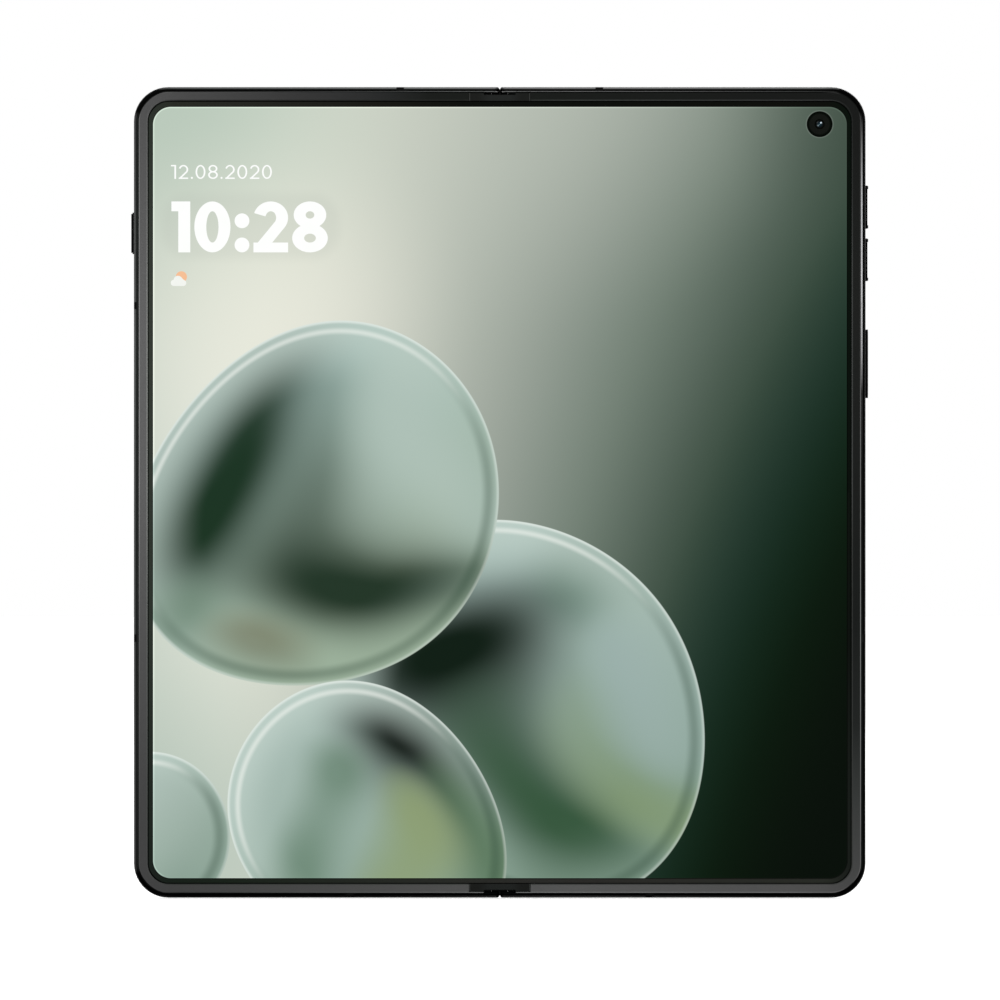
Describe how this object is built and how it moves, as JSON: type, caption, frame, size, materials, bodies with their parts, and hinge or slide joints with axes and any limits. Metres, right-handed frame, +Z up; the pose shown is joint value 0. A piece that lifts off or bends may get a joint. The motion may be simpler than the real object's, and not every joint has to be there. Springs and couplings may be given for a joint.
{
  "type": "foldable smartphone",
  "caption": "Book-style foldable phone, open flat: large inner display with a dark raised rim, side keys, rear camera island, outer display and a working hinge.",
  "frame": {"origin": "centre of the bounding box's base: under the middle of the fold, level with the bottom edge", "axes": "+Z up along the fold, towards the phone's top edge; -Y out of the inner display; +X to the right seen from the display side"},
  "size_m": [0.1456, 0.0074, 0.1601],
  "materials": {
    "frame": "satin anodised",
    "break": "matte",
    "rim": "fine matte",
    "display": "gloss, lit picture",
    "black_glass": "gloss",
    "clear_glass": "gloss",
    "shield": "matte",
    "back": "frosted",
    "ring": "satin",
    "lens": "coated",
    "key": "satin",
    "steel": "brushed",
    "chrome": "polished",
    "brass": "machined",
    "board": "solder mask",
    "battery": "foil pouch",
    "module": "matte",
    "flex": "satin film",
    "magnet": "nickel",
    "flash": "frosted"
  },
  "bodies": {
    "right_half": {"right_frame": "frame", "right_breaks": "break", "right_rim": "rim", "right_display": "display", "inner_camera_window": "black_glass", "inner_camera_lens": "lens", "inner_camera_body": "module", "back_panel": "back", "camera_island": "back", "camera_rings": "ring", "camera_glasses": "clear_glass", "camera_lenses": "lens", "camera_modules": "module", "flash_lens": "flash", "right_switches": "module", "right_battery": "battery", "main_board": "board", "sub_board": "board", "usb_port": "steel", "bottom_speaker": "module", "right_magnets": "magnet", "right_screws": "magnet", "right_arms": "steel", "right_wing_pin": "magnet"},
    "hinge_spine": {"spine_cover": "ring", "spine_bearings": "steel", "spine_end_caps": "shield", "centre_plate": "steel", "hinge_pins": "magnet", "friction_washers": "brass", "fold_display": "display", "fold_shields": "shield", "hinge_flex": "flex"},
    "left_half": {"left_frame": "frame", "left_breaks": "break", "left_rim": "rim", "left_display": "display", "cover_glass": "black_glass", "cover_panel": "black_glass", "cover_camera": "lens", "left_switch": "module", "left_battery": "battery", "top_speaker": "module", "vibration_motor": "steel", "sim_socket": "steel", "left_magnets": "magnet", "left_screws": "magnet", "left_arms": "steel", "left_wing_pin": "magnet"},
    "right_idler_gear": {"right_idler": "brass"},
    "left_idler_gear": {"left_idler": "brass"},
    "right_wing_plate": {"right_wing": "steel"},
    "left_wing_plate": {"left_wing": "steel"},
    "volume_up": {"volume_up_key": "key"},
    "volume_down": {"volume_down_key": "key"},
    "power": {"power_key": "key"},
    "side": {"side_key": "key"},
    "tray": {"sim_tray": "key"}
  },
  "joints": [
    {"name": "fold", "type": "hinge", "parent": "right_half", "child": "hinge_spine", "pos_m": [0.00225, -0.0016, 0], "axis": [0, 0, 1], "range_deg": [0, 90], "deforming": ["fold_display", "fold_shields", "hinge_flex"]},
    {"name": "fold_left", "type": "hinge", "parent": "hinge_spine", "child": "left_half", "pos_m": [-0.00225, -0.0016, 0], "axis": [0, 0, 1], "range_deg": [0, 90]},
    {"name": "right_idler_turn", "type": "hinge", "parent": "hinge_spine", "child": "right_idler_gear", "pos_m": [0.0008, -0.00092, 0], "axis": [0, 0, 1], "range_deg": [0, 90]},
    {"name": "left_idler_turn", "type": "hinge", "parent": "hinge_spine", "child": "left_idler_gear", "pos_m": [-0.0008, -0.00092, 0], "axis": [0, 0, 1], "range_deg": [-90, 0]},
    {"name": "right_wing_tilt", "type": "hinge", "parent": "right_half", "child": "right_wing_plate", "pos_m": [0.00695, -0.00255, 0], "axis": [0, 0, -1], "range_deg": [0, 20]},
    {"name": "left_wing_tilt", "type": "hinge", "parent": "left_half", "child": "left_wing_plate", "pos_m": [-0.00695, -0.00255, 0], "axis": [0, 0, 1], "range_deg": [0, 20]},
    {"name": "volume_up_press", "type": "slide", "parent": "right_half", "child": "volume_up", "axis": [-1, 0, 0], "range_m": [0, 0.0003], "stiffness_N_per_m": 800},
    {"name": "volume_down_press", "type": "slide", "parent": "right_half", "child": "volume_down", "axis": [-1, 0, 0], "range_m": [0, 0.0003], "stiffness_N_per_m": 800},
    {"name": "power_press", "type": "slide", "parent": "right_half", "child": "power", "axis": [-1, 0, 0], "range_m": [0, 0.0003], "stiffness_N_per_m": 800},
    {"name": "side_press", "type": "slide", "parent": "left_half", "child": "side", "axis": [1, 0, 0], "range_m": [0, 0.0003], "stiffness_N_per_m": 800},
    {"name": "tray_slide", "type": "slide", "parent": "left_half", "child": "tray", "axis": [0, 0, -1], "range_m": [0, 0.022]}
  ],
  "couplings": [
    {"joint": "fold_left", "follows": "fold", "ratio": 1},
    {"joint": "right_idler_turn", "follows": "fold", "ratio": 1},
    {"joint": "left_idler_turn", "follows": "fold", "ratio": -1},
    {"joint": "right_wing_tilt", "follows": "fold", "ratio": 0.2222},
    {"joint": "left_wing_tilt", "follows": "fold", "ratio": 0.2222}
  ]
}
